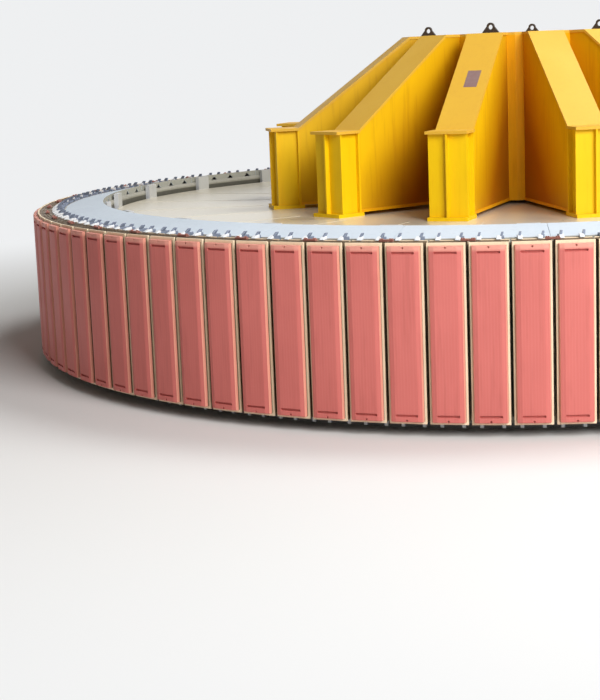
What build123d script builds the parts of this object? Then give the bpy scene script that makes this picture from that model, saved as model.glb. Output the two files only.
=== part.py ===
# Rotor of a large hydroelectric generator, standing ready to be lowered into its stator.
# A laminated rim carries ninety-six salient poles, and a fabricated spider carries the rim.
# A yellow lifting star stands on the spider's deck, over the shaft axis.
# Millimetres, +Z up. The rotor rests on its brake tracks and on the lower coupling flange.
import os
from math import atan2, degrees, pi, sqrt

from build123d import *

os.makedirs("parts", exist_ok=True)

# Driving sizes of the whole rotor
face_radius = 7500
pole_height = 2120
pole_bottom = 160
pole_top = pole_bottom + pole_height

# Poles are kept in four quarters, one file to each quarter
quarter_count = 4
poles_per_quarter = 24
pole_count = quarter_count * poles_per_quarter
pole_step = 360 / pole_count
quarter_angle = 360 / quarter_count


def pitch_at(radius):
    """One pole's share of the circle at this radius."""
    return 2 * pi * radius / pole_count


# Salient pole, seen from above: shoe, body and dovetail tail
shoe_gap = 88.9
shoe_width = pitch_at(face_radius) - shoe_gap
shoe_thickness = 70
shoe_chamfer = 14
shoe_inset = 34
body_width = 200
body_inset = 95
tail_depth = 130
tail_flare = 30

# Field coil wound on edge round the pole body, between the shoe and its seat on the rim
coil_thickness = 270
shoe_back = face_radius - shoe_thickness
rim_outer = shoe_back - coil_thickness
coil_gap = 20.6
coil_width = pitch_at(rim_outer) - coil_gap

# Rim of stacked laminations, with an end plate above and below
rim_depth = 760
rim_inner = rim_outer - rim_depth
end_plate = 40

# Tapered keys that lock each dovetail tail in its slot
key_thickness = 30
key_head = 75
key_tip = 95

# Cover ring over the rim: a sloping roof plate whose inner skirt stands on the rim
cover_setback = 150
cover_outer = rim_outer - cover_setback
cover_lip = 40
cover_inner = rim_inner + cover_lip
cover_rise = 95
cover_sheet = 14
cover_run = 60
cover_segments = 24
cover_joint = 6
vent_width = 150
vent_height = 70

# Spider under the deck
deck_drop = 130
deck_thickness = 40
deck_top = pole_top - deck_drop
deck_under = deck_top - deck_thickness
block_depth = 70
deck_outer = rim_inner - block_depth
spider_arms = 24
web_thickness = 40
arm_end_width = 280
arm_end_drop = 4
hub_outer = 1300
hub_bore = 700
lower_disc_outer = 3000
lower_disc_height = 240
lower_disc_thickness = 60
lower_flange_width = 320

# Coupling flange at the foot of the hub
coupling_radius = 1650
coupling_thickness = 180
coupling_bolt_circle = 1490
coupling_bolt_hole = 90
coupling_bolts = 16

# Brake tracks under the rim
brake_setback = 260
brake_width = 420
brake_outer = rim_outer - brake_setback
brake_inner = brake_outer - brake_width
brake_thickness = 60
brake_segments = 24
brake_joint = 8

# Copper links between the coils of neighbouring poles, at every second gap
link_from_rim = 130
link_radius = rim_outer + link_from_rim
link_depth = 60
link_height = 40
link_span = 170

# Lifting star: it stands on the soles of its feet, so its drum and arms clear the deck
star_arms = 12
star_height = 2510
star_top = deck_top + star_height
star_plate = 40
sole_thickness = 50
star_floor = deck_top + sole_thickness
drum_apothem = 1400
drum_wall = 60
drum_bore = 380
knee_radius = 1685
arm_width = 534
arm_web = 25
arm_web_inset = 15

# Feet of the star: a narrow column between side ribs, under a cap that reaches past its front
foot_outer = 3880
foot_depth = 435
foot_front = 80
foot_width = 427
foot_wall = 25
foot_height = 1215
foot_top = deck_top + foot_height
rib_reach = 60
rib_thickness = 25
front_rib = 70
cap_margin = 20
sole_margin = 10
sole_heel = 45

# Lifting eyes of the star: four lugs, all facing the same way
eye_radius = 1350
eye_width = 260
eye_height = 150
eye_thickness = 60
eye_tip = 55
eye_hole = 70
eye_hole_rise = 85


def ring(count, start=0.0, span=360.0):
    """Places turned round the rotor axis, each with its X axis pointing outward."""
    return PolarLocations(0, count, start_angle=start, angular_range=span)


def flat_on_circle(radius, width):
    """Distance from the axis at which a flat face of this width meets a circle at its edges."""
    return sqrt(radius ** 2 - (width / 2) ** 2)


def faceted(distance, sides, mode=Mode.ADD):
    """A plate outline with a flat at this distance from the axis on the line of every pole or arm."""
    turn = 180 / sides
    return RegularPolygon(distance, sides, major_radius=False, rotation=turn, mode=mode)


# The pole's plan: both halves of each outline come from the same half widths
tail_bottom = rim_outer - tail_depth
body_half = body_width / 2
tail_half = body_half + tail_flare
shoe_half = shoe_width / 2
body_outline = [
    (shoe_back, -body_half),
    (shoe_back, body_half),
    (rim_outer, body_half),
    (tail_bottom, tail_half),
    (tail_bottom, -tail_half),
    (rim_outer, -body_half),
]
shoe_outline = [
    (shoe_back, -shoe_half),
    (face_radius - shoe_chamfer, -shoe_half),
    (face_radius, -shoe_half + shoe_chamfer),
    (face_radius, shoe_half - shoe_chamfer),
    (face_radius - shoe_chamfer, shoe_half),
    (shoe_back, shoe_half),
]

# The slot in the rim is the tail with a key at each side
slot_mouth = body_half + key_thickness
slot_floor = tail_half + key_thickness
slot_over = 20
slot_slope = tail_flare / tail_depth
slot_outline = [
    (tail_bottom, -slot_floor),
    (rim_outer + slot_over, -slot_mouth + slot_slope * slot_over),
    (rim_outer + slot_over, slot_mouth - slot_slope * slot_over),
    (tail_bottom, slot_floor),
]

# Pole cores and field coils, a quarter of the ring at a time
for quarter in range(quarter_count):
    quarter_start = quarter * quarter_angle

    with BuildPart() as pole_cores:
        with BuildSketch(Plane.XY.offset(pole_bottom + body_inset)):
            with ring(poles_per_quarter, quarter_start, quarter_angle):
                Polygon(*body_outline, align=None)
        extrude(amount=pole_height - 2 * body_inset)
        with BuildSketch(Plane.XY.offset(pole_bottom + shoe_inset)):
            with ring(poles_per_quarter, quarter_start, quarter_angle):
                Polygon(*shoe_outline, align=None)
        extrude(amount=pole_height - 2 * shoe_inset)
    pole_cores.part.label = f"pole_cores_{quarter + 1}"
    export_step(pole_cores.part, f"parts/pole_cores_{quarter + 1}.step")

    with BuildPart() as field_coils:
        with BuildSketch(Plane.XY.offset(pole_bottom)):
            with ring(poles_per_quarter, quarter_start, quarter_angle):
                with Locations((rim_outer, 0)):
                    Rectangle(coil_thickness, coil_width, align=(Align.MIN, Align.CENTER))
        extrude(amount=pole_height)
        with BuildSketch(Plane.XY.offset(pole_bottom + body_inset)):
            with ring(poles_per_quarter, quarter_start, quarter_angle):
                with Locations((rim_outer, 0)):
                    Rectangle(coil_thickness, body_width, align=(Align.MIN, Align.CENTER))
        extrude(amount=pole_height - 2 * body_inset, mode=Mode.SUBTRACT)
    field_coils.part.label = f"field_coils_{quarter + 1}"
    export_step(field_coils.part, f"parts/field_coils_{quarter + 1}.step")

# Keys, two to a pole, between the tail and the wall of its slot
key_outline = [
    (rim_outer, body_half),
    (rim_outer, slot_mouth),
    (tail_bottom, slot_floor),
    (tail_bottom, tail_half),
]
with BuildPart() as pole_keys:
    with BuildSketch(Plane.XY.offset(pole_bottom - key_tip)):
        with ring(pole_count):
            Polygon(*key_outline, align=None)
            Polygon(*[(x, -y) for x, y in key_outline], align=None)
    extrude(amount=pole_height + key_tip + key_head)
pole_keys.part.label = "pole_keys"
export_step(pole_keys.part, "parts/pole_keys.step")


def rim_plate(bottom):
    """A flat ring that clamps the laminations, inside the bottoms of the slots."""
    with BuildPart() as plate:
        with BuildSketch(Plane.XY.offset(bottom)):
            faceted(tail_bottom, pole_count)
            faceted(rim_inner, pole_count, Mode.SUBTRACT)
        extrude(amount=end_plate)
    return plate.part


# Rim: laminations with a flat seat and a dovetail slot for each pole, between two end plates
with BuildPart() as rim_laminations:
    with BuildSketch(Plane.XY.offset(pole_bottom + end_plate)):
        faceted(rim_outer, pole_count)
        faceted(rim_inner, pole_count, Mode.SUBTRACT)
        with ring(pole_count):
            Polygon(*slot_outline, align=None, mode=Mode.SUBTRACT)
    extrude(amount=pole_height - 2 * end_plate)
rim_laminations.part.label = "rim_laminations"
export_step(rim_laminations.part, "parts/rim_laminations.step")

rim_lower_plate = rim_plate(pole_bottom)
rim_lower_plate.label = "rim_lower_plate"
export_step(rim_lower_plate, "parts/rim_lower_plate.step")

rim_upper_plate = rim_plate(pole_top - end_plate)
rim_upper_plate.label = "rim_upper_plate"
export_step(rim_upper_plate, "parts/rim_upper_plate.step")

# Copper links, each lying across the top of two neighbouring coils
with BuildPart() as pole_links:
    with BuildSketch(Plane.XY.offset(pole_top)):
        with ring(pole_count // 2, pole_step / 2):
            with Locations((link_radius, 0)):
                Rectangle(link_depth, link_span)
    extrude(amount=link_height)
pole_links.part.label = "pole_links"
export_step(pole_links.part, "parts/pole_links.step")

# Cover ring: segments of flat plates folded over the rim, with a narrow joint between neighbours
cover_top = pole_top + cover_rise
vent_start = cover_inner - cover_sheet
vent_outline = [
    (-vent_width / 2, pole_top),
    (0, pole_top + vent_height),
    (vent_width / 2, pole_top),
]
vent_planes = [Plane.YZ.rotated((0, 0, vent * pole_step)).offset(vent_start) for vent in range(pole_count)]
roof_run = cover_outer - cover_inner
hollow_rise = cover_rise - cover_sheet
with BuildPart() as cover_ring:
    with BuildSketch(Plane.XY.offset(pole_top)):
        faceted(cover_outer, pole_count)
    extrude(amount=cover_rise, taper=degrees(atan2(roof_run, cover_rise)))
    with BuildSketch(Plane.XY.offset(pole_top)):
        faceted(cover_outer - cover_run, pole_count)
    extrude(amount=hollow_rise, taper=degrees(atan2(roof_run - cover_run, hollow_rise)), mode=Mode.SUBTRACT)
    with BuildSketch(Plane.XY.offset(pole_top)):
        faceted(cover_inner + cover_sheet, pole_count)
    extrude(amount=hollow_rise)
    with BuildSketch(Plane.XY.offset(pole_top)):
        faceted(cover_inner, pole_count)
    extrude(amount=cover_rise, mode=Mode.SUBTRACT)
    with BuildSketch(Plane.XY.offset(pole_top)):
        with ring(cover_segments, pole_step / 2):
            with Locations((cover_inner - cover_sheet, 0)):
                Rectangle(cover_outer - cover_inner + 3 * cover_sheet, cover_joint, align=(Align.MIN, Align.CENTER))
    extrude(amount=cover_rise, mode=Mode.SUBTRACT)
    with BuildSketch(*vent_planes):
        Polygon(*vent_outline, align=None)
    extrude(amount=3 * cover_sheet, mode=Mode.SUBTRACT)
cover_ring.part.label = "cover_ring"
export_step(cover_ring.part, "parts/cover_ring.step")

# Blocks on the inner face of the rim, where the spider arms end
block_bottom = pole_bottom + end_plate
with BuildPart() as arm_end_blocks:
    with BuildSketch(Plane.XY.offset(block_bottom)):
        with ring(spider_arms):
            with Locations((deck_outer, 0)):
                Rectangle(block_depth, arm_end_width, align=(Align.MIN, Align.CENTER))
    extrude(amount=cover_top - arm_end_drop - block_bottom)
arm_end_blocks.part.label = "arm_end_blocks"
export_step(arm_end_blocks.part, "parts/arm_end_blocks.step")

# Deck: the spider's full upper disc
with BuildPart() as spider_deck:
    with BuildSketch(Plane.XY.offset(deck_under)):
        faceted(deck_outer, pole_count)
        Circle(hub_bore, mode=Mode.SUBTRACT)
    extrude(amount=deck_thickness)
spider_deck.part.label = "spider_deck"
export_step(spider_deck.part, "parts/spider_deck.step")

# Lower disc round the hub
lower_disc_top = lower_disc_height + lower_disc_thickness
with BuildPart() as spider_lower_disc:
    with BuildSketch(Plane.XY.offset(lower_disc_height)):
        faceted(lower_disc_outer, spider_arms)
        Circle(hub_outer, mode=Mode.SUBTRACT)
    extrude(amount=lower_disc_thickness)
spider_lower_disc.part.label = "spider_lower_disc"
export_step(spider_lower_disc.part, "parts/spider_lower_disc.step")

# Radial webs from the hub to the blocks on the rim
web_start = flat_on_circle(hub_outer, web_thickness)
with BuildPart() as spider_webs:
    with BuildSketch(Plane.XY.offset(lower_disc_top)):
        with ring(spider_arms):
            with Locations((web_start, 0)):
                Rectangle(deck_outer - web_start, web_thickness, align=(Align.MIN, Align.CENTER))
    extrude(amount=deck_under - lower_disc_top)
spider_webs.part.label = "spider_webs"
export_step(spider_webs.part, "parts/spider_webs.step")

# Flanges under the webs, beyond the lower disc
flange_start = lower_disc_outer
with BuildPart() as spider_lower_flanges:
    with BuildSketch(Plane.XY.offset(lower_disc_height)):
        with ring(spider_arms):
            with Locations((flange_start, 0)):
                Rectangle(deck_outer - flange_start, lower_flange_width, align=(Align.MIN, Align.CENTER))
    extrude(amount=lower_disc_thickness)
spider_lower_flanges.part.label = "spider_lower_flanges"
export_step(spider_lower_flanges.part, "parts/spider_lower_flanges.step")

# Hub with the coupling flange that meets the turbine shaft
with BuildPart() as spider_hub:
    with BuildSketch():
        Circle(coupling_radius)
    extrude(amount=coupling_thickness)
    with BuildSketch(Plane.XY.offset(coupling_thickness)):
        Circle(hub_outer)
    extrude(amount=deck_under - coupling_thickness)
    with BuildSketch():
        Circle(hub_bore)
    extrude(amount=deck_under, mode=Mode.SUBTRACT)
    with BuildSketch():
        with PolarLocations(coupling_bolt_circle, coupling_bolts):
            Circle(coupling_bolt_hole / 2)
    extrude(amount=coupling_thickness, mode=Mode.SUBTRACT)
spider_hub.part.label = "spider_hub"
export_step(spider_hub.part, "parts/spider_hub.step")

# Brake tracks: flat segments carried by a ring under the rim
with BuildPart() as brake_carrier:
    with BuildSketch(Plane.XY.offset(brake_thickness)):
        faceted(brake_outer, pole_count)
        faceted(brake_inner, pole_count, Mode.SUBTRACT)
    extrude(amount=pole_bottom - brake_thickness)
brake_carrier.part.label = "brake_carrier"
export_step(brake_carrier.part, "parts/brake_carrier.step")

with BuildPart() as brake_tracks:
    with BuildSketch():
        faceted(brake_outer, pole_count)
        faceted(brake_inner, pole_count, Mode.SUBTRACT)
        with ring(brake_segments, pole_step / 2):
            with Locations(((brake_outer + brake_inner) / 2, 0)):
                Rectangle(brake_width + 4 * brake_joint, brake_joint, mode=Mode.SUBTRACT)
    extrude(amount=brake_thickness)
brake_tracks.part.label = "brake_tracks"
export_step(brake_tracks.part, "parts/brake_tracks.step")

# Lifting star: drum in the middle
arm_start_angle = 180 / star_arms
foot_inner = foot_outer - foot_depth
with BuildPart() as star_base_plate:
    with BuildSketch(Plane.XY.offset(star_floor)):
        RegularPolygon(drum_apothem, star_arms, major_radius=False)
        Circle(drum_bore, mode=Mode.SUBTRACT)
    extrude(amount=star_plate)
star_base_plate.part.label = "star_base_plate"
export_step(star_base_plate.part, "parts/star_base_plate.step")

with BuildPart() as star_drum:
    with BuildSketch(Plane.XY.offset(star_floor + star_plate)):
        RegularPolygon(drum_apothem, star_arms, major_radius=False)
        RegularPolygon(drum_apothem - drum_wall, star_arms, major_radius=False, mode=Mode.SUBTRACT)
    extrude(amount=star_top - star_floor - 2 * star_plate)
star_drum.part.label = "star_drum"
export_step(star_drum.part, "parts/star_drum.step")

with BuildPart() as star_top_plate:
    with BuildSketch(Plane.XY.offset(star_top - star_plate)):
        RegularPolygon(drum_apothem, star_arms, major_radius=False)
        Circle(drum_bore, mode=Mode.SUBTRACT)
    extrude(amount=star_plate)
star_top_plate.part.label = "star_top_plate"
export_step(star_top_plate.part, "parts/star_top_plate.step")

# Arms seen from the side: a cranked top flange over a pair of deep web plates
flange_outline = [
    (drum_apothem, star_top),
    (knee_radius, star_top),
    (foot_inner, foot_top),
    (foot_inner, foot_top - star_plate),
    (knee_radius, star_top - star_plate),
    (drum_apothem, star_top - star_plate),
]
web_outline = [
    (drum_apothem, star_floor + star_plate),
    (drum_apothem, star_top - star_plate),
    (knee_radius, star_top - star_plate),
    (foot_inner, foot_top - star_plate),
    (foot_inner, star_floor + star_plate),
]
web_offset = arm_width / 2 - arm_web_inset - arm_web / 2


def arm_plane(arm):
    """The upright plane along the centre line of one arm of the star."""
    return Plane.XZ.rotated((0, 0, arm_start_angle + arm * 360 / star_arms))


def along_arms(outline, offset, thickness):
    """An upright plate of this outline beside each arm's centre line, on every arm."""
    with BuildPart() as plates:
        for arm in range(star_arms):
            with BuildSketch(arm_plane(arm).offset(-offset)):
                Polygon(*outline, align=None)
            extrude(amount=thickness / 2, both=True)
    return plates.part


star_arm_flanges = along_arms(flange_outline, 0, arm_width)
star_arm_flanges.label = "star_arm_flanges"
export_step(star_arm_flanges, "parts/star_arm_flanges.step")

star_arm_webs = along_arms(web_outline, web_offset, arm_web) + along_arms(web_outline, -web_offset, arm_web)
star_arm_webs.label = "star_arm_webs"
export_step(star_arm_webs, "parts/star_arm_webs.step")

# Lower flanges of the arms, from the drum to the feet, where they lie on the soles
with BuildPart() as star_lower_flanges:
    with BuildSketch(Plane.XY.offset(star_floor)):
        with ring(star_arms, arm_start_angle):
            with Locations((drum_apothem, 0)):
                Rectangle(foot_inner - drum_apothem, arm_width, align=(Align.MIN, Align.CENTER))
    extrude(amount=star_plate)
star_lower_flanges.part.label = "star_lower_flanges"
export_step(star_lower_flanges.part, "parts/star_lower_flanges.step")

# Feet: sole, hollow column with ribs, and cap
ribbed_width = foot_width + 2 * rib_reach
with BuildPart() as star_soles:
    with BuildSketch(Plane.XY.offset(deck_top)):
        with ring(star_arms, arm_start_angle):
            with Locations((foot_outer, 0)):
                Rectangle(foot_depth + sole_heel, ribbed_width + 2 * sole_margin, align=(Align.MAX, Align.CENTER))
    extrude(amount=sole_thickness)
star_soles.part.label = "star_soles"
export_step(star_soles.part, "parts/star_soles.step")

column_depth = foot_depth - foot_front
column_front = foot_outer - foot_front
column_height = foot_top - star_plate - star_floor
with BuildPart() as star_columns:
    with BuildSketch(Plane.XY.offset(star_floor)):
        with ring(star_arms, arm_start_angle):
            with Locations((foot_inner + column_depth / 2, 0)):
                Rectangle(column_depth, foot_width)
                Rectangle(column_depth - 2 * foot_wall, foot_width - 2 * foot_wall, mode=Mode.SUBTRACT)
    extrude(amount=column_height)
star_columns.part.label = "star_columns"
export_step(star_columns.part, "parts/star_columns.step")

rib_side = (foot_width + rib_reach) / 2
with BuildPart() as star_ribs:
    with BuildSketch(Plane.XY.offset(star_floor)):
        with ring(star_arms, arm_start_angle):
            for side in (-rib_side, rib_side):
                for reach in (foot_inner + rib_thickness / 2, column_front - rib_thickness / 2):
                    with Locations((reach, side)):
                        Rectangle(rib_thickness, rib_reach)
            with Locations((column_front, 0)):
                Rectangle(front_rib, rib_thickness, align=(Align.MIN, Align.CENTER))
    extrude(amount=column_height)
star_ribs.part.label = "star_ribs"
export_step(star_ribs.part, "parts/star_ribs.step")

with BuildPart() as star_caps:
    with BuildSketch(Plane.XY.offset(foot_top - star_plate)):
        with ring(star_arms, arm_start_angle):
            with Locations((foot_inner, 0)):
                Rectangle(foot_depth, ribbed_width + 2 * cap_margin, align=(Align.MIN, Align.CENTER))
    extrude(amount=star_plate)
star_caps.part.label = "star_caps"
export_step(star_caps.part, "parts/star_caps.step")

# Lifting eyes over four of the arms: upright lugs, narrowed to a round tip, all in parallel planes
eye_plane = Plane.YZ.rotated((0, 0, arm_start_angle + 2 * 360 / star_arms))
eye_tip_rise = eye_height - eye_tip
eye_outline = [
    (-eye_width / 2, 0),
    (eye_width / 2, 0),
    (eye_tip, eye_tip_rise),
    (-eye_tip, eye_tip_rise),
]
with BuildPart() as star_eyes:
    for ahead, across in ((eye_radius, 0), (-eye_radius, 0), (0, eye_radius), (0, -eye_radius)):
        with BuildSketch(eye_plane.offset(ahead)):
            with Locations((across, star_top)):
                Polygon(*eye_outline, align=None)
            with Locations((across, star_top + eye_tip_rise)):
                Circle(eye_tip)
            with Locations((across, star_top + eye_hole_rise)):
                Circle(eye_hole / 2, mode=Mode.SUBTRACT)
        extrude(amount=eye_thickness / 2, both=True)
star_eyes.part.label = "star_eyes"
export_step(star_eyes.part, "parts/star_eyes.step")
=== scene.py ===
from math import cos, pi, radians, sin

import bmesh
import bpy
from mathutils import Matrix, Vector


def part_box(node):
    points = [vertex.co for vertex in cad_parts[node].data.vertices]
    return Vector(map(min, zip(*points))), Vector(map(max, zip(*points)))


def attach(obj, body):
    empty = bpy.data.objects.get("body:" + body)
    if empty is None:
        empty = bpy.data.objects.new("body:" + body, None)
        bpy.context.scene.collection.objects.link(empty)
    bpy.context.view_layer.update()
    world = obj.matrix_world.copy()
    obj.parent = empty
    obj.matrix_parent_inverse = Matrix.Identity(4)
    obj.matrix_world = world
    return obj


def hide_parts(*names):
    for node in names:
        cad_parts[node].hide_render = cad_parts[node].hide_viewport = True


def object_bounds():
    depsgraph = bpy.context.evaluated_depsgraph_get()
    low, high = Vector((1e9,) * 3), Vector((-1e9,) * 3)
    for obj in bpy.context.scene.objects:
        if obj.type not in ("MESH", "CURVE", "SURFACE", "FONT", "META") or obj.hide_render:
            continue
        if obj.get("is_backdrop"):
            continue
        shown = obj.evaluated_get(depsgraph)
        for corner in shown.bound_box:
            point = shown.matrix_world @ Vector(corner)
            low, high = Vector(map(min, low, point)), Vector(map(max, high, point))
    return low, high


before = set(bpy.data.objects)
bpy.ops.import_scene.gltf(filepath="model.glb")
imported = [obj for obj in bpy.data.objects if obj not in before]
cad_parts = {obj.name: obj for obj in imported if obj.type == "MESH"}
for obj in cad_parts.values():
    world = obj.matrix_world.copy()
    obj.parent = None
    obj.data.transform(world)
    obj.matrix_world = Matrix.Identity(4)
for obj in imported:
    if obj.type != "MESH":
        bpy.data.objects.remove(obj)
cad_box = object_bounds()


# Pole cores: the stacked steel body and shoe of each salient pole, painted salmon red.
# A shoe slopes back along its long edges, and has two cross grooves and two dowel holes in its face.
# Its edges are painted pale pink as a painted highlight, and its sides are painted brown as painted shade
# between the poles.
pole_low, pole_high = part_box("field_coils_1")
pole_bottom = pole_low.z
pole_top = pole_high.z
pole_count = 96
pole_step = 2 * pi / pole_count
poles_per_quarter = pole_count // 4
face_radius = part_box("pole_cores_1")[1].x
shoe_inset = 0.034
shoe_half = 0.201
shoe_thickness = 0.070
edge_width = 0.012
edge_fall = 0.035
flank_fall = 0.015
end_fall = 0.006
body_half = 0.100
body_inset = 0.095
body_overlap = 0.001
rim_face = 7.160
tail_depth = 0.130
tail_half = 0.130
groove_half = 0.132
groove_height = 0.026
groove_depth = 0.030
groove_from_end = 0.062
dowel_half = 0.010
dowel_from_end = 0.017
top_highlight_length = 0.070


def shade(red, green, blue):
    """A paint colour given as 0 to 255 on a screen, as the shader wants it."""
    parts = []
    for value in (red, green, blue):
        share = value / 255
        parts.append(share / 12.92 if share <= 0.04045 else ((share + 0.055) / 1.055) ** 2.4)
    return (*parts, 1.0)


def feed(tree, socket, value):
    """Gives a node's input another node's output, or a fixed value."""
    if isinstance(value, bpy.types.NodeSocket):
        tree.links.new(value, socket)
    else:
        socket.default_value = value


def worked_out(tree, operation, *values):
    """The result of a sum on numbers or other nodes' outputs."""
    node = tree.nodes.new("ShaderNodeMath")
    node.operation = operation
    for socket, value in zip(node.inputs, values):
        feed(tree, socket, value)
    return node.outputs[0]


def ranged(tree, value, low, high, bottom=0.0, top=1.0):
    """A value read between two levels, and given out between two others."""
    node = tree.nodes.new("ShaderNodeMapRange")
    for name, level in (("From Min", low), ("From Max", high), ("To Min", bottom), ("To Max", top)):
        node.inputs[name].default_value = level
    tree.links.new(value, node.inputs["Value"])
    return node.outputs["Result"]


def mixed(tree, share, first, second):
    """A colour between two others, or between two colours that vary."""
    node = tree.nodes.new("ShaderNodeMix")
    node.data_type = "RGBA"
    for name, value in (("Factor", share), ("A", first), ("B", second)):
        feed(tree, node.inputs[name], value)
    return node.outputs["Result"]


def clouds(tree, place, scale, detail=2.0):
    """Cloudy noise over a position."""
    node = tree.nodes.new("ShaderNodeTexNoise")
    node.inputs["Detail"].default_value = detail
    feed(tree, node.inputs["Scale"], scale)
    tree.links.new(place, node.inputs["Vector"])
    return node.outputs["Fac"]


def stretched(tree, place, scale):
    """A position with its three directions scaled."""
    node = tree.nodes.new("ShaderNodeMapping")
    node.inputs["Scale"].default_value = scale
    tree.links.new(place, node.inputs["Vector"])
    return node.outputs["Vector"]


def relief(tree, height, strength, distance):
    """The normal of a surface raised by a height."""
    node = tree.nodes.new("ShaderNodeBump")
    node.inputs["Strength"].default_value = strength
    node.inputs["Distance"].default_value = distance
    tree.links.new(height, node.inputs["Height"])
    return node.outputs["Normal"]


def weathering_group():
    """Uneven paint: broad fading, fine grime, and streaks that run down the piece."""
    group = bpy.data.node_groups.new("weathered_paint", "ShaderNodeTree")
    for name, kind, value in (
        ("Paint", "NodeSocketColor", (0.8, 0.8, 0.8, 1.0)),
        ("Grime", "NodeSocketColor", (0.2, 0.2, 0.2, 1.0)),
        ("Fading", "NodeSocketFloat", 0.2),
        ("Patch Size", "NodeSocketFloat", 0.6),
        ("Streaks", "NodeSocketFloat", 0.2),
    ):
        made = group.interface.new_socket(name, in_out="INPUT", socket_type=kind)
        made.default_value = value
    for name, kind in (("Colour", "Color"), ("Roughness", "Float"), ("Grain", "Float")):
        group.interface.new_socket(name, in_out="OUTPUT", socket_type=f"NodeSocket{kind}")
    given = group.nodes.new("NodeGroupInput").outputs
    result = group.nodes.new("NodeGroupOutput").inputs
    place = group.nodes.new("ShaderNodeTexCoord").outputs["Object"]
    broad = clouds(group, place, worked_out(group, "DIVIDE", 1.0, given["Patch Size"]), detail=4.0)
    fade = worked_out(group, "MULTIPLY", broad, given["Fading"])
    faded = mixed(group, fade, given["Paint"], given["Grime"])
    runs = clouds(group, stretched(group, place, (9.0, 9.0, 0.7)), 2.0, detail=5.0)
    streak = worked_out(group, "MULTIPLY", ranged(group, runs, 0.52, 0.72), given["Streaks"])
    group.links.new(mixed(group, streak, faded, given["Grime"]), result["Colour"])
    group.links.new(ranged(group, broad, 0.0, 1.0, bottom=0.35, top=0.65), result["Roughness"])
    group.links.new(clouds(group, place, 60.0), result["Grain"])
    return group


weathered_paint = weathering_group()


def painted(
    name, paint, grime, fading=0.25, patch_size=0.6, streaks=0.15, metallic=0.0, specular=0.4, dullness=1.0
):
    """A painted or bare steel finish with the shared weathering, glossier if its dullness is under one."""
    finish = bpy.data.materials.new(name)
    finish.use_nodes = True
    tree = finish.node_tree
    surface = tree.nodes["Principled BSDF"].inputs
    wear = tree.nodes.new("ShaderNodeGroup")
    wear.node_tree = weathered_paint
    wear.inputs["Paint"].default_value = shade(*paint)
    wear.inputs["Grime"].default_value = shade(*grime)
    wear.inputs["Fading"].default_value = fading
    wear.inputs["Patch Size"].default_value = patch_size
    wear.inputs["Streaks"].default_value = streaks
    tree.links.new(wear.outputs["Colour"], surface["Base Color"])
    tree.links.new(worked_out(tree, "MULTIPLY", wear.outputs["Roughness"], dullness), surface["Roughness"])
    surface["Metallic"].default_value = metallic
    surface["Specular IOR Level"].default_value = specular
    tree.links.new(relief(tree, wear.outputs["Grain"], strength=0.4, distance=0.002), surface["Normal"])
    return finish


def soften(piece, width):
    """Breaks the sharp edges of a piece by this width."""
    edge = piece.modifiers.new("edges", "BEVEL")
    edge.width = width
    edge.segments = 1
    edge.limit_method = "ANGLE"
    edge.angle_limit = radians(35)


def fitted(name, mesh, finish, slot_name, *stands_for, bevel=0.0):
    """Puts a finished mesh in the rotor, on its one body, in place of the CAD nodes named."""
    mesh.materials.append(finish)
    piece = bpy.data.objects.new(name, mesh)
    bpy.context.scene.collection.objects.link(piece)
    if bevel:
        soften(piece, bevel)
    if stands_for:
        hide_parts(*stands_for)
    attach(piece, "root")
    return piece


def closed(bm, below, above):
    """Closes two like rings of corners into a solid."""
    bm.faces.new(list(reversed(below)))
    bm.faces.new(above)
    for i in range(len(below)):
        j = (i + 1) % len(below)
        bm.faces.new((below[i], below[j], above[j], above[i]))


def prism(bm, outline, lower, upper):
    """An upright block with this plan, between two heights."""
    below = [bm.verts.new((x, y, lower)) for x, y in outline]
    above = [bm.verts.new((x, y, upper)) for x, y in outline]
    closed(bm, below, above)


def box(bm, x, y, z):
    """A rectangular bar between pairs of x, y and z."""
    prism(bm, [(x[0], y[0]), (x[1], y[0]), (x[1], y[1]), (x[0], y[1])], z[0], z[1])


def copies_round(name, unit, angles):
    """One mesh made of copies of a unit turned about the rotor axis."""
    bm = bmesh.new()
    for angle in angles:
        first = len(bm.verts)
        bm.from_mesh(unit)
        bm.verts.ensure_lookup_table()
        turn = Matrix.Rotation(angle, 3, "Z")
        bmesh.ops.rotate(bm, verts=bm.verts[first:], cent=(0, 0, 0), matrix=turn)
    mesh = bpy.data.meshes.new(name)
    bm.to_mesh(mesh)
    bm.free()
    return mesh


def unit_of(bm, name):
    """Turns a bmesh into the mesh of one unit, with its width and height in a map that turns with it."""
    bmesh.ops.recalc_face_normals(bm, faces=bm.faces)
    across = bm.loops.layers.uv.new("across")
    for face in bm.faces:
        for loop in face.loops:
            loop[across].uv = (loop.vert.co.y, loop.vert.co.z)
    mesh = bpy.data.meshes.new(name)
    bm.to_mesh(mesh)
    bm.free()
    return mesh


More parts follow.
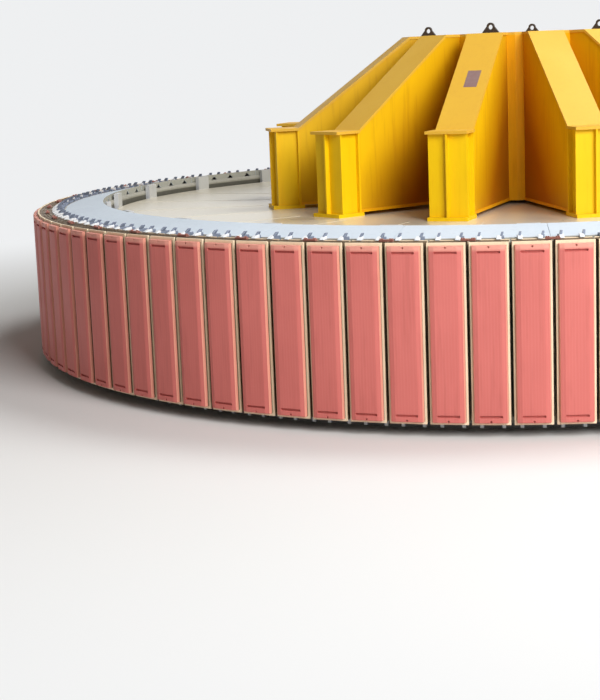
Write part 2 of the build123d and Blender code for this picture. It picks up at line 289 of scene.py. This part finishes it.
def recessed_face(bm, x, widths, heights, hollows, depth):
    """A shoe's face at one x, sloped at its margins, with hollows sunk in it between its grid lines."""
    grid = {}
    for i, y in enumerate(widths):
        for j, z in enumerate(heights):
            fall = end_fall if j in (0, len(heights) - 1) else 0.0
            if i in (0, len(widths) - 1):
                fall = flank_fall
            grid[i, j] = bm.verts.new((x - fall, y, z))
    sunk = set()
    for i0, i1, j0, j1 in hollows:
        sunk.update((i, j) for i in range(i0, i1) for j in range(j0, j1))
        corner = {}
        for i in (i0, i1):
            for j in (j0, j1):
                corner[i, j] = bm.verts.new((x - depth, widths[i], heights[j]))
        bm.faces.new((corner[i0, j0], corner[i1, j0], corner[i1, j1], corner[i0, j1]))
        for j in (j0, j1):
            edge = [grid[i, j] for i in range(i0, i1 + 1)]
            bm.faces.new(edge + [corner[i1, j], corner[i0, j]])
        for i in (i0, i1):
            edge = [grid[i, j] for j in range(j0, j1 + 1)]
            bm.faces.new(edge + [corner[i, j1], corner[i, j0]])
    for i in range(len(widths) - 1):
        for j in range(len(heights) - 1):
            if (i, j) not in sunk:
                bm.faces.new((grid[i, j], grid[i + 1, j], grid[i + 1, j + 1], grid[i, j + 1]))
    return grid


shoe_low = pole_bottom + shoe_inset
shoe_high = pole_top - shoe_inset
shoe_back = face_radius - shoe_thickness
shoe_edge = face_radius - flank_fall - edge_fall
face_half = shoe_half - edge_width
face_widths = [-face_half, -groove_half, -dowel_half, dowel_half, groove_half, face_half]
lower_heights = [
    0.0,
    dowel_from_end - dowel_half,
    dowel_from_end + dowel_half,
    groove_from_end,
    groove_from_end + groove_height,
]
face_heights = [shoe_low + z for z in lower_heights] + [shoe_high - z for z in reversed(lower_heights)]
sunk_places = [(2, 3, 1, 2), (1, 4, 3, 4), (1, 4, 5, 6), (2, 3, 7, 8)]
bm = bmesh.new()
grid = recessed_face(bm, face_radius, face_widths, face_heights, sunk_places, groove_depth)
last_width, last_height = len(face_widths) - 1, len(face_heights) - 1
corners = {}
for side, column in ((-1, 0), (1, last_width)):
    for x in (shoe_edge, shoe_back):
        for z in (shoe_low, shoe_high):
            corners[side, x, z] = bm.verts.new((x, side * shoe_half, z))
    rise = [grid[column, j] for j in range(last_height + 1)]
    outer_edge = [corners[side, shoe_edge, z] for z in (shoe_high, shoe_low)]
    # The sloped strip along each edge takes the pale edge paint, a painted highlight.
    highlight_face = bm.faces.new(rise + outer_edge)
    highlight_face.material_index = 1
    # The side of the shoe takes the brown varnish as painted shade, where the gap between poles is dark.
    shaded_side_face = bm.faces.new((
        corners[side, shoe_edge, shoe_low],
        corners[side, shoe_edge, shoe_high],
        corners[side, shoe_back, shoe_high],
        corners[side, shoe_back, shoe_low],
    ))
    shaded_side_face.material_index = 2
for z, row in ((shoe_low, 0), (shoe_high, last_height)):
    front = [grid[i, row] for i in range(last_width + 1)]
    around = [(1, shoe_edge), (1, shoe_back), (-1, shoe_back), (-1, shoe_edge)]
    bm.faces.new(front + [corners[side, x, z] for side, x in around])
bm.faces.new((
    corners[-1, shoe_back, shoe_low],
    corners[1, shoe_back, shoe_low],
    corners[1, shoe_back, shoe_high],
    corners[-1, shoe_back, shoe_high],
))
body_plan = [
    (shoe_back - body_overlap, -body_half),
    (shoe_back - body_overlap, body_half),
    (rim_face, body_half),
    (rim_face - tail_depth, tail_half),
    (rim_face - tail_depth, -tail_half),
    (rim_face, -body_half),
]
prism(bm, body_plan, pole_bottom + body_inset, pole_top - body_inset)
pole_unit = unit_of(bm, "pole_unit")


def bands(tree, place, direction, scale, distortion, detail_scale=1.0):
    """Wavering parallel lines along one direction."""
    node = tree.nodes.new("ShaderNodeTexWave")
    node.bands_direction = direction
    node.inputs["Scale"].default_value = scale
    node.inputs["Distortion"].default_value = distortion
    node.inputs["Detail Scale"].default_value = detail_scale
    tree.links.new(place, node.inputs["Vector"])
    return node.outputs["Fac"]


def pole_paint():
    """Salmon-red paint over pressed sheet, with fine upright lines down the face and a painted highlight
    along the top end.
    """
    finish = painted("pole_red_paint", (212, 117, 110), (142, 64, 54), 0.34, 1.1, 0.16, specular=0.2)
    tree = finish.node_tree
    surface = tree.nodes["Principled BSDF"].inputs
    across = tree.nodes.new("ShaderNodeUVMap")
    across.uv_map = "across"
    place = across.outputs["UV"]
    lines = bands(tree, stretched(tree, place, (1.0, 0.02, 1.0)), "X", 8.8, 2.4, detail_scale=3.0)
    line_share = ranged(tree, lines, 0.62, 1.0, top=0.05)
    lined = mixed(tree, line_share, tree.nodes["Group"].outputs["Colour"], shade(242, 168, 160))
    height = tree.nodes.new("ShaderNodeSeparateXYZ")
    tree.links.new(place, height.inputs["Vector"])
    # The top end of the face is painted paler, a painted highlight where the face slopes back.
    top_highlight_share = ranged(tree, height.outputs["Y"], shoe_high - top_highlight_length, shoe_high - top_highlight_length / 2, top=0.45)
    tree.links.new(mixed(tree, top_highlight_share, lined, shade(244, 186, 164)), surface["Base Color"])
    tree.links.new(relief(tree, lines, strength=0.07, distance=0.0015), surface["Normal"])
    return finish


pole_red = pole_paint()
# Pale pink for the shoe edges is a painted highlight.
edge_highlight_paint = painted("pole_edge_highlight", (230, 158, 138), (176, 96, 78), 0.4, 0.5, specular=0.2)
# The brown varnish is the coils' own colour, and painted shade on the sides of the shoes.
varnish_and_side_shade = painted("varnish_and_side_shade", (128, 108, 84), (58, 44, 34), 0.5, 0.4, 0.2)
for quarter in range(4):
    angles = [quarter * pi / 2 + i * pole_step for i in range(poles_per_quarter)]
    node = f"pole_cores_{quarter + 1}"
    mesh = copies_round(node, pole_unit, angles)
    fitted(f"red_{node}", mesh, pole_red, "pole_steel", node, bevel=0.003)
    mesh.materials.append(edge_highlight_paint)
    mesh.materials.append(varnish_and_side_shade)


# Field coils: copper strip wound on edge round each pole body, brown under its varnish.
# A cream moulded collar clamps the coil against the back of the shoe, and another bears on the rim.
# Every few turns a wider one stands out as a cooling fin.
collar_half = 0.224
collar_thickness = 0.024
rim_collar_thickness = 0.012
coil_half = 0.212
coil_inset = 0.012
fin_half = 0.219
fin_inset = 0.005
fin_count = 5
coil_share = 0.75


def frame_corners(half, low, high):
    """The corners of an upright rectangle, centred across."""
    return [(-half, low), (half, low), (half, high), (-half, high)]


def coil_frame(bm, x, half, low, high):
    """A rectangular ring round the pole body, between two distances from the axis."""
    outer = frame_corners(half, low, high)
    inner = frame_corners(body_half, pole_bottom + body_inset, pole_top - body_inset)
    rings = []
    for depth in x:
        for corners in (outer, inner):
            rings.append([bm.verts.new((depth, y, z)) for y, z in corners])
    out_near, in_near, out_far, in_far = rings
    for i in range(4):
        j = (i + 1) % 4
        bm.faces.new((out_near[i], out_near[j], out_far[j], out_far[i]))
        bm.faces.new((in_near[j], in_near[i], in_far[i], in_far[j]))
        bm.faces.new((out_far[i], out_far[j], in_far[j], in_far[i]))
        bm.faces.new((out_near[j], out_near[i], in_near[i], in_near[j]))


collar_back = shoe_back - collar_thickness
coil_start = rim_face + rim_collar_thickness
bm = bmesh.new()
coil_frame(bm, (collar_back, shoe_back), collar_half, pole_bottom, pole_top)
coil_frame(bm, (rim_face, coil_start), collar_half, pole_bottom, pole_top)
collar_unit = unit_of(bm, "collar_unit")
bm = bmesh.new()
fin_pitch = (collar_back - coil_start) / fin_count
for fin in range(fin_count):
    base = coil_start + fin * fin_pitch
    fin_start = base + coil_share * fin_pitch
    coil_frame(bm, (base, fin_start), coil_half, pole_bottom + coil_inset, pole_top - coil_inset)
    coil_frame(bm, (fin_start, base + fin_pitch), fin_half, pole_bottom + fin_inset, pole_top - fin_inset)
coil_unit = unit_of(bm, "coil_unit")
cream_varnish = painted("cream_varnish", (250, 230, 198), (180, 144, 104), 0.32, 0.5, specular=0.2)
for quarter in range(4):
    angles = [quarter * pi / 2 + i * pole_step for i in range(poles_per_quarter)]
    node = f"field_coils_{quarter + 1}"
    collars = copies_round(f"collars_{quarter + 1}", collar_unit, angles)
    fitted(f"cream_collars_{quarter + 1}", collars, cream_varnish, "coil_insulation", node, bevel=0.003)
    coils = copies_round(f"coils_{quarter + 1}", coil_unit, angles)
    fitted(f"wound_coils_{quarter + 1}", coils, varnish_and_side_shade, "coil_insulation", node)


# Pole keys: tapered steel bars driven down both sides of every dovetail tail.
# Their heads stand above the rim, bent in toward the axis, with a white lock plate folded over each.
# Their tips show under the rim, each caught by a white clip like the plates above.
key_thickness = 0.030
key_low, key_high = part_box("pole_keys")
bar_top = pole_top + 0.030
key_middle = (body_half + tail_half + key_thickness) / 2
head_back = rim_face - 0.075
head_front = rim_face - 0.005
head_half = 0.014
head_turn = 0.012
head_lean = {head_back: 0.0275, head_front: 0.050}
every_pole = [i * pole_step for i in range(pole_count)]
bm = bmesh.new()
for side in (-1, 1):
    plan = [
        (rim_face, side * body_half),
        (rim_face, side * (body_half + key_thickness)),
        (rim_face - tail_depth, side * (tail_half + key_thickness)),
        (rim_face - tail_depth, side * tail_half),
    ]
    prism(bm, plan if side > 0 else list(reversed(plan)), key_low.z, bar_top)
    middle = side * key_middle
    foot = [
        (head_back, middle - head_half),
        (head_front, middle - head_half),
        (head_front, middle + head_half),
        (head_back, middle + head_half),
    ]
    below = [bm.verts.new((x, y, bar_top)) for x, y in foot]
    above = [bm.verts.new((x - head_lean[x], y + head_turn, key_high.z)) for x, y in foot]
    closed(bm, below, above)
key_unit = unit_of(bm, "key_unit")
key_steel = painted("key_steel", (142, 152, 172), (72, 74, 82), 0.5, 0.3, metallic=0.4)
key_bars = copies_round("key_bars", key_unit, every_pole)
fitted("key_bars_and_heads", key_bars, key_steel, "key_steel", "pole_keys", bevel=0.003)

plate_profile = [(-0.055, 0.0), (0.060, 0.0), (0.060, 0.010), (-0.005, 0.034), (-0.055, 0.042)]
plate_left, plate_right = -0.038, 0.018
clip_profile = [(-0.050, 0.0), (0.004, 0.0), (0.004, -0.092), (-0.012, -0.104), (-0.050, -0.060)]
clip_half = 0.020


def folded_plate(bm, profile, height, left, right):
    """A plate with this side outline, measured from the rim's face and a height, between two widths."""
    near, far = [[bm.verts.new((rim_face + x, y, height + z)) for x, z in profile] for y in (left, right)]
    closed(bm, far, near)


bm = bmesh.new()
for side in (-1, 1):
    middle = side * (body_half + key_thickness / 2)
    folded_plate(bm, plate_profile, pole_top, middle + plate_left, middle + plate_right)
    middle = side * key_middle
    folded_plate(bm, clip_profile, pole_bottom, middle - clip_half, middle + clip_half)
lock_unit = unit_of(bm, "lock_unit")
lock_white = painted("lock_plate_white", (240, 244, 248), (168, 164, 158), 0.30, 0.3)
lock_plates = copies_round("lock_plates", lock_unit, every_pole)
fitted("key_lock_plates", lock_plates, lock_white, "key_steel", bevel=0.004)


# Pole links: packs of thin copper leaves bolted across the top of every second gap.
# They join the coils of neighbouring poles in series, and flex a little as the rim grows at speed.
# The leaves have gone brown-red in the air.
link_radius = 7.290
link_depth = 0.060
link_half = 0.085
link_low, link_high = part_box("pole_links")
leaf_count = 4
pack_share = 0.62
leaf_share = 0.8
bolt_spots = (0.046, 0.070)
bolt_depth_half, bolt_width_half = 0.013, 0.011
bolt_sink, bolt_rise = 0.002, 0.012


def hexagon(x, y, x_half, y_half):
    """The corners of a nut or a bolt head about a centre."""
    return [(x + x_half * cos(k * pi / 3), y + y_half * sin(k * pi / 3)) for k in range(6)]


bm = bmesh.new()
leaf_pitch = (link_high.z - link_low.z) * pack_share / leaf_count
x_pair = (link_radius - link_depth / 2, link_radius + link_depth / 2)
for leaf in range(leaf_count):
    base = link_low.z + leaf * leaf_pitch
    box(bm, x_pair, (-link_half, link_half), (base, base + leaf_share * leaf_pitch))
pack_top = link_low.z + leaf_count * leaf_pitch
for side in (-1, 1):
    for spot in bolt_spots:
        head = hexagon(link_radius, side * spot, bolt_depth_half, bolt_width_half)
        prism(bm, head, pack_top - bolt_sink, pack_top + bolt_rise)
link_unit = unit_of(bm, "link_unit")
link_copper = painted("link_copper", (176, 118, 104), (110, 70, 60), 0.5, 0.2, metallic=0.3)
link_turns = [pole_step / 2 + i * 2 * pole_step for i in range(pole_count // 2)]
links = copies_round("copper_links", link_unit, link_turns)
fitted("copper_links", links, link_copper, "copper", "pole_links", bevel=0.002)


# Rim: thin steel sheets stacked to the height of the poles, and clamped between end plates.
# The edges of the sheets show as fine level lines on the inner face, over a dark band of painted shade just
# above the deck.
# Through studs hold the stack, and their hexagon nuts show under the lower plate.
deck_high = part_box("spider_deck")[1]
shade_band_top = 0.072
shade_band_edge = 0.014


def level_of(tree):
    """How high a point of the surface is."""
    spot = tree.nodes.new("ShaderNodeNewGeometry")
    level = tree.nodes.new("ShaderNodeSeparateXYZ")
    tree.links.new(spot.outputs["Position"], level.inputs["Vector"])
    return level.outputs["Z"]


def stacked_steel():
    """Grey stacked sheet with fine level lines, and a dark band of painted shade in the corner over the
    deck.
    """
    finish = painted("stacked_sheet", (158, 156, 141), (104, 98, 86), 0.35, 0.8, 0.3)
    tree = finish.node_tree
    surface = tree.nodes["Principled BSDF"].inputs
    # A dark band of painted shade runs along the rim's inner face just above the deck.
    shade_band_level = deck_high.z + shade_band_top
    shade_band = ranged(tree, level_of(tree), shade_band_level, shade_band_level - shade_band_edge, top=0.86)
    shaded = mixed(tree, shade_band, tree.nodes["Group"].outputs["Colour"], shade(62, 59, 46))
    tree.links.new(shaded, surface["Base Color"])
    place = tree.nodes.new("ShaderNodeTexCoord").outputs["Object"]
    sheets = bands(tree, place, "Z", 24.0, 0.4)
    tree.links.new(relief(tree, sheets, strength=0.6, distance=0.004), surface["Normal"])
    return finish


def refinish(node, finish, bevel=0.0):
    """Gives a CAD node that keeps its own shape its finish, and softens its edges."""
    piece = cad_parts[node]
    for material_slot in piece.material_slots:
        material_slot.material = finish
    if bevel:
        soften(piece, bevel)


refinish("rim_laminations", stacked_steel())
rim_grey = painted("rim_grey", (176, 174, 164), (104, 98, 88), 0.3, 0.8)
refinish("rim_lower_plate", rim_grey)
refinish("rim_upper_plate", rim_grey)

nut_circles = (6.44, 6.96)
nut_half = 0.034
nut_height = 0.030
bm = bmesh.new()
for nut_circle in nut_circles:
    prism(bm, hexagon(nut_circle, 0.0, nut_half, nut_half), pole_bottom - nut_height, pole_bottom)
nut_unit = unit_of(bm, "nut_unit")
stud_nuts = copies_round("stud_nuts", nut_unit, every_pole)
fitted("rim_stud_nuts", stud_nuts, key_steel, "key_steel", bevel=0.002)


# Cover ring: white painted plates folded over the rim, which guide the cooling air.
# They meet at narrow radial joints, and the inner skirt has a vent cut out in line with every pole.
# The skirt is painted greyer than the top.
def vector_worked_out(tree, operation, *vectors):
    """The outputs of a sum on directions or other nodes' outputs."""
    node = tree.nodes.new("ShaderNodeVectorMath")
    node.operation = operation
    for socket, value in zip(node.inputs, vectors):
        feed(tree, socket, value)
    return node.outputs


def way_out(tree):
    """The level way from the rotor axis to a point of the surface."""
    spot = tree.nodes.new("ShaderNodeNewGeometry")
    return vector_worked_out(tree, "MULTIPLY", spot.outputs["Position"], (1.0, 1.0, 0.0))["Vector"]


def ring_paint(name, outer_paint, inner_paint, grime):
    """Paint that is duller on the faces turned toward the rotor axis."""
    finish = painted(name, outer_paint, grime, 0.34, 1.4, 0.10)
    tree = finish.node_tree
    outward = vector_worked_out(tree, "NORMALIZE", way_out(tree))["Vector"]
    normal = tree.nodes.new("ShaderNodeNewGeometry").outputs["Normal"]
    facing = vector_worked_out(tree, "DOT_PRODUCT", outward, normal)["Value"]
    inward = ranged(tree, facing, -0.5, -0.8)
    paint = mixed(tree, inward, shade(*outer_paint), shade(*inner_paint))
    tree.links.new(paint, tree.nodes["Group"].inputs["Paint"])
    return finish


cover_white = ring_paint("cover_white", (216, 228, 240), (158, 156, 141), (140, 148, 158))
refinish("cover_ring", cover_white, bevel=0.003)


# Arm-end blocks: plain plates on the rim's inner face, where the spider arms carry the rim.
# They are burnt from thick plate and painted with the cover ring.
# Each ends just under the ring.
block_paint = ring_paint("block_paint", (206, 208, 212), (186, 186, 182), (132, 132, 126))
refinish("arm_end_blocks", block_paint, bevel=0.006)


# Deck: the spider's upper disc, a floor of cream painted plates welded edge to edge.
# Low weld seams run outward between the arms.
# It is scuffed and dusty from being walked on.
deck_cream = painted(
    "deck_cream", (232, 226, 210), (176, 158, 124), 0.42, 2.2, 0.08, specular=0.5, dullness=0.42
)
refinish("spider_deck", deck_cream)
seam_start = 3.98
seam_margin = 0.02
seam_count = 24
seam_step = 2 * pi / seam_count
seam_half = 0.007
seam_sink, seam_rise = 0.001, 0.003
bm = bmesh.new()
box(
    bm,
    (seam_start, deck_high.x - seam_margin),
    (-seam_half, seam_half),
    (deck_high.z - seam_sink, deck_high.z + seam_rise),
)
seam_unit = unit_of(bm, "seam_unit")
deck_seams = copies_round("deck_seams", seam_unit, [(i + 0.5) * seam_step for i in range(seam_count)])
fitted("deck_weld_seams", deck_seams, deck_cream, "deck_paint")


# Spider: radial webs, lower disc and lower flanges, welded from plate and painted grey-white.
# The hub is a machined ring with a bolted coupling flange for the shaft at its foot.
# Only the underside and the slot round the deck show it.
spider_paint = painted("spider_paint", (196, 199, 196), (120, 116, 108), 0.3, 1.2)
for node in ("spider_webs", "spider_lower_disc", "spider_lower_flanges"):
    refinish(node, spider_paint, bevel=0.003)
machined_steel = painted("machined_steel", (150, 150, 148), (96, 92, 88), 0.3, 0.9, 0.05, metallic=0.7)
refinish("spider_hub", machined_steel, bevel=0.004)


# Brake tracks: flat ground segments under the rim, on a ring that carries them.
# The brake pads rub on them to stop the rotor, so their lower faces are bright.
# Narrow gaps let the segments grow as they heat.
brake_bright = painted("brake_bright", (126, 124, 122), (74, 66, 60), 0.4, 0.7, metallic=0.7)
refinish("brake_tracks", brake_bright, bevel=0.003)
refinish("brake_carrier", rim_grey, bevel=0.003)


# Lifting star: a welded frame of twelve box girders round a drum, painted a strong warm yellow.
# Each arm has a cranked top flange over two deep webs, and ends in a ribbed hollow foot on the deck.
# The paint is scuffed on the flanges; the webs get painted shade, browner low down and toward the drum.
def web_paint():
    """The webs' yellow with painted shade: bright by the feet and flanges, brown low down by the drum."""
    # Painted shade: the yellow turns brown lower down and nearer the drum, where the arms close in.
    bright_yellow = (244, 196, 10)
    shaded = (178, 108, 4)
    by_reach = 0.655
    by_height = 0.55
    start = -2.85
    finish = painted("web_yellow", bright_yellow, (176, 104, 0), 0.36, 1.3, 0.26, specular=0.22)
    tree = finish.node_tree
    reach = vector_worked_out(tree, "LENGTH", way_out(tree))["Value"]
    reached = worked_out(tree, "MULTIPLY_ADD", reach, by_reach, start)
    less_shade = worked_out(tree, "MULTIPLY_ADD", level_of(tree), by_height, reached)
    paint = mixed(tree, less_shade, shade(*shaded), shade(*bright_yellow))
    tree.links.new(paint, tree.nodes["Group"].inputs["Paint"])
    return finish


refinish("star_arm_webs", web_paint(), bevel=0.004)
drum_yellow = painted("drum_yellow", (240, 176, 10), (190, 116, 0), 0.42, 1.0, 0.30, specular=0.22)
flange_yellow = painted("flange_yellow", (230, 184, 58), (200, 142, 56), 0.50, 0.9, 0.12, specular=0.22)
foot_yellow = painted("foot_yellow", (244, 202, 10), (204, 140, 0), 0.34, 0.7, 0.16, specular=0.22)
for node in ("star_base_plate", "star_drum", "star_lower_flanges"):
    refinish(node, drum_yellow, bevel=0.004)
for node in ("star_soles", "star_columns", "star_ribs"):
    refinish(node, foot_yellow, bevel=0.004)
for node in ("star_top_plate", "star_arm_flanges", "star_caps"):
    refinish(node, flange_yellow, bevel=0.006)


# Bare plate: a small steel plate fixed to the top flange of one arm of the star.
# It lies along the slope of the flange, and its paint has gone.
knee_radius = 1.685
flange_end = 3.445
foot_top = 3.365
flange_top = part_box("star_arm_flanges")[1].z
flange_slope = (flange_top - foot_top) / (flange_end - knee_radius)
plate_near, plate_far = 2.40, 2.70
plate_low_side, plate_high_side = -0.065, 0.125
plate_sink, plate_rise = 0.001, 0.003
plate_arm = radians(-105)
bare_plate = [
    (plate_near, plate_high_side),
    (plate_near, plate_low_side),
    (plate_far, plate_low_side),
    (plate_far, plate_high_side),
]
bm = bmesh.new()
lower, upper = [
    [bm.verts.new((x, y, flange_top - (x - knee_radius) * flange_slope + rise)) for x, y in bare_plate]
    for rise in (-plate_sink, plate_rise)
]
closed(bm, upper, lower)
plate_unit = unit_of(bm, "plate_unit")
plate_metal = painted("plate_metal", (146, 122, 118), (120, 66, 58), 0.5, 0.12, metallic=0.2)
fitted("bare_plate_on_arm", copies_round("bare_plate", plate_unit, [plate_arm]), plate_metal, "star_paint")


# Lifting eyes: dark forged lugs welded over four of the star's arms, all facing the same way.
# The star can be lifted off by them, and they are oiled nearly black.
eye_dark = painted("eye_dark", (66, 54, 46), (30, 26, 24), 0.4, 0.2, metallic=0.4)
refinish("star_eyes", eye_dark, bevel=0.006)


# Studio: a pale floor that fades into a pale backdrop, and three soft lamps.
# Rays that would show the backdrop itself see its colour, and the rest see a dim warm sky.
# None of this belongs to the rotor.
floor_half = 120.0
floor_drop = 0.002
fade_start, fade_end = 9.0, 20.0
backdrop_colour = (0.86, 0.87, 0.88, 1.0)
sky_colour = (1.0, 0.94, 0.84, 1.0)
sky_strength = 0.13
aim_height = 2.0


def plainly_seen(tree):
    """One for the rays that show the backdrop itself: from the camera, in a reflection or through glass."""
    view = tree.nodes.new("ShaderNodeLightPath").outputs
    total = view["Is Camera Ray"]
    for ray in ("Is Glossy Ray", "Is Transmission Ray"):
        total = worked_out(tree, "ADD", total, view[ray])
        total.node.use_clamp = True
    return total


def blended(tree, share, first, second, result):
    """Shows one shader or another by a share."""
    node = tree.nodes.new("ShaderNodeMixShader")
    tree.links.new(share, node.inputs["Fac"])
    tree.links.new(first, node.inputs[1])
    tree.links.new(second, node.inputs[2])
    tree.links.new(node.outputs["Shader"], tree.nodes[result].inputs["Surface"])


floor_mesh = bpy.data.meshes.new("floor")
bm = bmesh.new()
for x, y in ((-1, -1), (1, -1), (1, 1), (-1, 1)):
    bm.verts.new((x * floor_half, y * floor_half, -floor_drop))
bm.faces.new(bm.verts)
bm.to_mesh(floor_mesh)
bm.free()
floor_finish = bpy.data.materials.new("floor_pale")
floor_finish.use_nodes = True
floor_tree = floor_finish.node_tree
floor_surface = floor_tree.nodes["Principled BSDF"]
floor_surface.inputs["Base Color"].default_value = (0.80, 0.80, 0.79, 1.0)
floor_surface.inputs["Roughness"].default_value = 0.9
floor_surface.inputs["Specular IOR Level"].default_value = 0.1
far_floor = floor_tree.nodes.new("ShaderNodeEmission")
far_floor.inputs["Color"].default_value = backdrop_colour
floor_place = floor_tree.nodes.new("ShaderNodeTexCoord").outputs["Object"]
floor_reach = vector_worked_out(floor_tree, "LENGTH", floor_place)["Value"]
far_away = ranged(floor_tree, floor_reach, fade_start, fade_end)
far_away.node.interpolation_type = "SMOOTHSTEP"
seen = worked_out(floor_tree, "MULTIPLY", plainly_seen(floor_tree), far_away)
blended(floor_tree, seen, floor_surface.outputs["BSDF"], far_floor.outputs["Emission"], "Material Output")
floor_mesh.materials.append(floor_finish)
floor = bpy.data.objects.new("floor", floor_mesh)
bpy.context.scene.collection.objects.link(floor)
floor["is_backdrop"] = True

world = bpy.data.worlds.new("studio_sky")
world.use_nodes = True
sky = world.node_tree.nodes["Background"]
sky.inputs["Color"].default_value = sky_colour
sky.inputs["Strength"].default_value = sky_strength
backdrop = world.node_tree.nodes.new("ShaderNodeBackground")
backdrop.inputs["Color"].default_value = backdrop_colour
seen = plainly_seen(world.node_tree)
blended(world.node_tree, seen, sky.outputs["Background"], backdrop.outputs["Background"], "World Output")
bpy.context.scene.world = world


def lamp(name, azimuth, height, distance, size, power):
    """A soft square lamp aimed at the rotor, placed by its direction from the front."""
    light = bpy.data.lights.new(name, "AREA")
    light.shape = "SQUARE"
    light.size = size
    light.energy = power
    holder = bpy.data.objects.new(name, light)
    bpy.context.scene.collection.objects.link(holder)
    holder.location = (distance * sin(radians(azimuth)), -distance * cos(radians(azimuth)), height)
    aim = Vector((0, 0, aim_height)) - holder.location
    holder.rotation_euler = aim.to_track_quat("-Z", "Y").to_euler()


lamp("front_lamp", azimuth=27, height=18, distance=32, size=18, power=12300)
lamp("right_lamp", azimuth=84, height=16, distance=34, size=16, power=1300)
lamp("top_lamp", azimuth=112, height=34, distance=18, size=18, power=8200)


# Camera: where the photograph was taken from, looking slightly down on the rotor.
# Its distance, height, turn, tilt, roll and lens were fitted to the poles and the star's corners.
camera_distance = 25.68
camera_height = pole_bottom + 4.238
camera_side = radians(1.401)
camera_turn = radians(-7.791) + camera_side
camera_tilt = radians(10.225)
camera_roll = radians(-2.256)
focal_pixels = 1614.1
picture_height = 700
sensor_length = 36.0
camera_data = bpy.data.cameras.new("camera")
camera_data.lens = focal_pixels / picture_height * sensor_length
camera_data.sensor_width = sensor_length
camera_data.clip_end = 500
camera = bpy.data.objects.new("camera", camera_data)
bpy.context.scene.collection.objects.link(camera)
camera.location = (-camera_distance * sin(camera_side), -camera_distance * cos(camera_side), camera_height)
aim = Matrix.Rotation(-camera_turn, 4, "Z") @ Matrix.Rotation(pi / 2 - camera_tilt, 4, "X")
camera.rotation_euler = (aim @ Matrix.Rotation(camera_roll, 4, "Z")).to_euler()
bpy.context.scene.camera = camera
bpy.context.scene.view_settings.view_transform = "Standard"

corners = {"cad": cad_box, "visual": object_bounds()}
